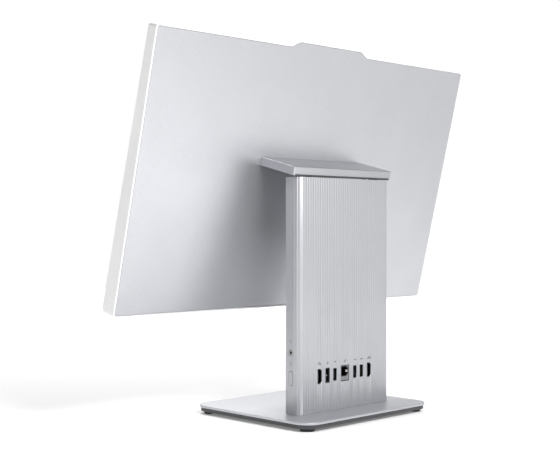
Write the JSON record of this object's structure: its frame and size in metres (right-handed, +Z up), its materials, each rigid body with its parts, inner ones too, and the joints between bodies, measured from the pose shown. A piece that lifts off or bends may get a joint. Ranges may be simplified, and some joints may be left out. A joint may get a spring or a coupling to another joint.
{
  "type": "all-in-one desktop computer",
  "caption": "Thin tilting display on a flat hollow column that holds the computer, with sockets low on its rear, a neck plate over the column and a square base plate.",
  "frame": {"origin": "centre of the whole object's box on the desk, under the middle of the base", "axes": "+X along the display's width, to the right of someone facing the screen; screen faces -Y; sockets face +Y; +Z up"},
  "size_m": [0.541, 0.197, 0.4561],
  "materials": {
    "anodised_aluminium": "satin anodised",
    "silver_plastic": "matte silver",
    "dark_plastic": "matte dark grey",
    "rubber": "matte",
    "steel": "plain sheet steel",
    "socket_metal": "plated socket shells",
    "inlet_plastic": "matte",
    "circuit_board": "solder mask",
    "chip": "moulded package",
    "copper": "bare copper",
    "fin_aluminium": "bare",
    "screen_glass": "dark matte screen",
    "diffuser": "white",
    "lens_glass": "clear dark",
    "cable_jacket": "matte"
  },
  "bodies": {
    "stand": {"base_plate": "anodised_aluminium", "base_screws": "steel", "base_tray": "dark_plastic", "base_weight": "steel", "blower_housing": "dark_plastic", "coin_cell": "steel", "cold_plate": "copper", "column_frame": "steel", "column_front_cover": "silver_plastic", "column_rear_cover": "silver_plastic", "column_top_cap": "dark_plastic", "ethernet_port": "socket_metal", "fin_stack": "fin_aluminium", "hdmi_input_port": "socket_metal", "hdmi_output_port": "socket_metal", "headphone_jack": "dark_plastic", "heat_pipe": "copper", "hinge_bracket_left": "steel", "hinge_bracket_right": "steel", "hinge_pin_left": "steel", "hinge_pin_right": "steel", "lower_display_cable": "cable_jacket", "mainboard": "circuit_board", "mainboard_screws": "steel", "memory_module_1": "circuit_board", "memory_module_2": "circuit_board", "power_inlet": "inlet_plastic", "processor": "chip", "rubber_feet": "rubber", "side_board": "circuit_board", "storage_module": "circuit_board", "usb_port_1": "socket_metal", "usb_port_2": "socket_metal", "usb_port_3": "socket_metal", "wireless_card": "circuit_board"},
    "display": {"display_frame": "anodised_aluminium", "rear_cover": "anodised_aluminium", "front_bezel": "dark_plastic", "chin_cover": "silver_plastic", "lcd_panel": "screen_glass", "backlight_unit": "diffuser", "panel_chassis": "steel", "display_board": "circuit_board", "display_screws": "steel", "speaker_left": "dark_plastic", "speaker_right": "dark_plastic", "webcam_module": "dark_plastic", "webcam_lens": "lens_glass", "neck_bracket": "steel", "neck_top_cover": "anodised_aluminium", "neck_bottom_cover": "silver_plastic", "hinge_arm_left": "steel", "hinge_arm_right": "steel", "hinge_screws": "steel", "upper_display_cable": "cable_jacket"},
    "power_button": {"power_button": "silver_plastic"},
    "blower_rotor": {"blower_rotor": "dark_plastic"},
    "camera_shutter": {"camera_shutter": "dark_plastic"}
  },
  "joints": [
    {"name": "display_tilt", "type": "hinge", "parent": "stand", "child": "display", "pos_m": [0, 0.045, 0.2795], "axis": [-1, 0, 0], "range_deg": [-20, 0]},
    {"name": "power_button_press", "type": "slide", "parent": "stand", "child": "power_button", "axis": [-1, 0, 0], "range_m": [0, 0.0006], "stiffness_N_per_m": 1500, "springref_m": -0.0004},
    {"name": "blower_spin", "type": "hinge", "parent": "stand", "child": "blower_rotor", "pos_m": [0, 0.0476, 0.204], "axis": [0, 1, 0], "continuous": true},
    {"name": "camera_shutter_slide", "type": "slide", "parent": "display", "child": "camera_shutter", "axis": [-1, 0, 0], "range_m": [0, 0.007]}
  ]
}
